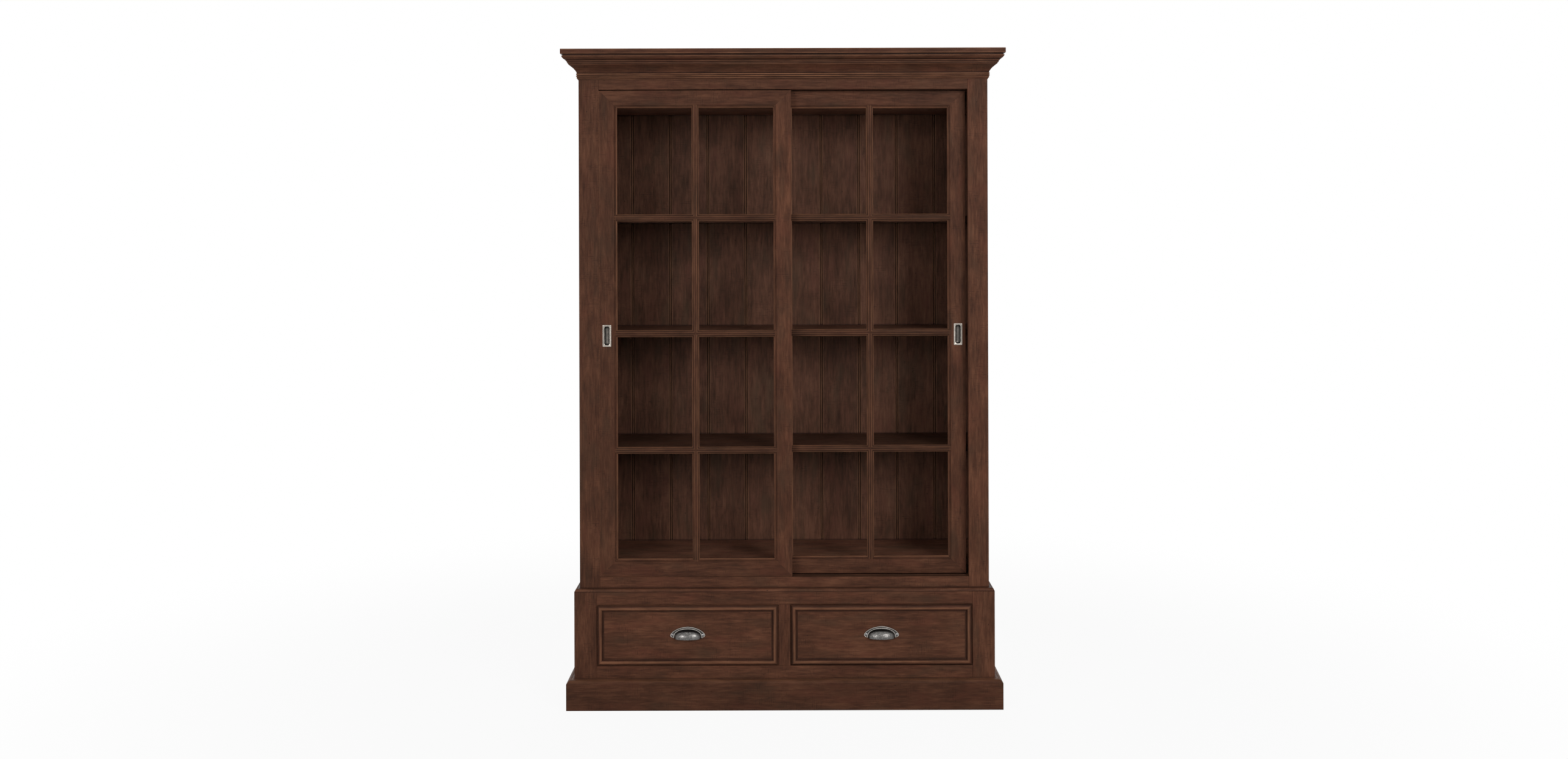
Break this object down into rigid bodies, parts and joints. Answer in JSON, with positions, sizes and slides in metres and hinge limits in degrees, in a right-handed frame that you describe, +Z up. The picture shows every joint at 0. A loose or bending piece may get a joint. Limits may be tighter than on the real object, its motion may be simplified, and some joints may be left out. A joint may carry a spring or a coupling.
{
  "type": "bookcase with sliding doors",
  "caption": "Tall stained-wood bookcase with glazed sliding doors in grooved tracks, beadboard back, crown moulding and a drawer base on a plinth.",
  "frame": {"origin": "middle of the bounding box on the floor: midway across the width, midway between the crown's front and the back, at floor level", "axes": "+Z up, -Y is the front with the doors and drawers, +X is the viewer's right when facing the front"},
  "size_m": [1.434, 0.4564, 2.134],
  "materials": {
    "stained_wood": "dark walnut-brown stain, satin, lightly distressed",
    "inside_wood": "dark walnut-brown stain, satin",
    "drawer_wood": "clear-finished hardwood",
    "glass": "clear float glass",
    "pewter": "antique pewter with bright rubbed edges",
    "steel": "turned steel"
  },
  "bodies": {
    "cabinet": {"crown_moulding": "stained_wood", "top_board": "stained_wood", "upper_side_left": "stained_wood", "upper_side_right": "stained_wood", "frame_stile_left": "stained_wood", "frame_stile_right": "stained_wood", "frame_top_rail": "stained_wood", "frame_bottom_rail": "stained_wood", "deck_panel": "inside_wood", "shelf_lower": "inside_wood", "shelf_middle": "inside_wood", "shelf_upper": "inside_wood", "ceiling_panel": "inside_wood", "beadboard_back": "inside_wood", "top_track": "stained_wood", "bottom_track": "stained_wood", "base_stile_left": "stained_wood", "base_stile_right": "stained_wood", "base_stile_centre": "stained_wood", "base_top_rail": "stained_wood", "base_bottom_rail": "stained_wood", "base_side_left": "stained_wood", "base_side_right": "stained_wood", "base_top": "inside_wood", "base_back": "inside_wood", "base_floor": "inside_wood", "base_moulding": "stained_wood", "plinth": "stained_wood", "drawer_runner_left": "drawer_wood", "drawer_runner_right": "drawer_wood", "drawer_runner_centre": "drawer_wood"},
    "left_door": {"left_door_left_stile": "stained_wood", "left_door_right_stile": "stained_wood", "left_door_top_rail": "stained_wood", "left_door_bottom_rail": "stained_wood", "left_door_muntins": "stained_wood", "left_door_glass": "glass", "left_door_flush_pull": "pewter"},
    "left_door_left_roller": {"left_door_left_roller": "steel"},
    "left_door_right_roller": {"left_door_right_roller": "steel"},
    "right_door": {"right_door_left_stile": "stained_wood", "right_door_right_stile": "stained_wood", "right_door_top_rail": "stained_wood", "right_door_bottom_rail": "stained_wood", "right_door_muntins": "stained_wood", "right_door_glass": "glass", "right_door_flush_pull": "pewter"},
    "right_door_left_roller": {"right_door_left_roller": "steel"},
    "right_door_right_roller": {"right_door_right_roller": "steel"},
    "left_drawer": {"left_drawer_front": "stained_wood", "left_drawer_bead_frame": "stained_wood", "left_drawer_box": "drawer_wood", "left_drawer_bottom": "drawer_wood", "left_drawer_cup_pull": "pewter"},
    "right_drawer": {"right_drawer_front": "stained_wood", "right_drawer_bead_frame": "stained_wood", "right_drawer_box": "drawer_wood", "right_drawer_bottom": "drawer_wood", "right_drawer_cup_pull": "pewter"}
  },
  "joints": [
    {"name": "left_door_slide", "type": "slide", "parent": "cabinet", "child": "left_door", "axis": [1, 0, 0], "range_m": [0, 0.573]},
    {"name": "right_door_slide", "type": "slide", "parent": "cabinet", "child": "right_door", "axis": [1, 0, 0], "range_m": [-0.565, 0]},
    {"name": "left_drawer_slide", "type": "slide", "parent": "cabinet", "child": "left_drawer", "axis": [0, -1, 0], "range_m": [0, 0.3]},
    {"name": "right_drawer_slide", "type": "slide", "parent": "cabinet", "child": "right_drawer", "axis": [0, -1, 0], "range_m": [0, 0.3]},
    {"name": "left_door_left_roller_spin", "type": "hinge", "parent": "left_door", "child": "left_door_left_roller", "pos_m": [-0.5085, -0.15275, 0.4333], "axis": [0, 1, 0], "continuous": true},
    {"name": "left_door_right_roller_spin", "type": "hinge", "parent": "left_door", "child": "left_door_right_roller", "pos_m": [-0.0645, -0.15275, 0.4333], "axis": [0, 1, 0], "continuous": true},
    {"name": "right_door_left_roller_spin", "type": "hinge", "parent": "right_door", "child": "right_door_left_roller", "pos_m": [0.0605, -0.11875, 0.4333], "axis": [0, 1, 0], "continuous": true},
    {"name": "right_door_right_roller_spin", "type": "hinge", "parent": "right_door", "child": "right_door_right_roller", "pos_m": [0.5045, -0.11875, 0.4333], "axis": [0, 1, 0], "continuous": true}
  ],
  "couplings": [
    {"joint": "left_door_left_roller_spin", "follows": "left_door_slide", "rad_per_m": 111.11},
    {"joint": "left_door_right_roller_spin", "follows": "left_door_slide", "rad_per_m": 111.11},
    {"joint": "right_door_left_roller_spin", "follows": "right_door_slide", "rad_per_m": 111.11},
    {"joint": "right_door_right_roller_spin", "follows": "right_door_slide", "rad_per_m": 111.11}
  ]
}
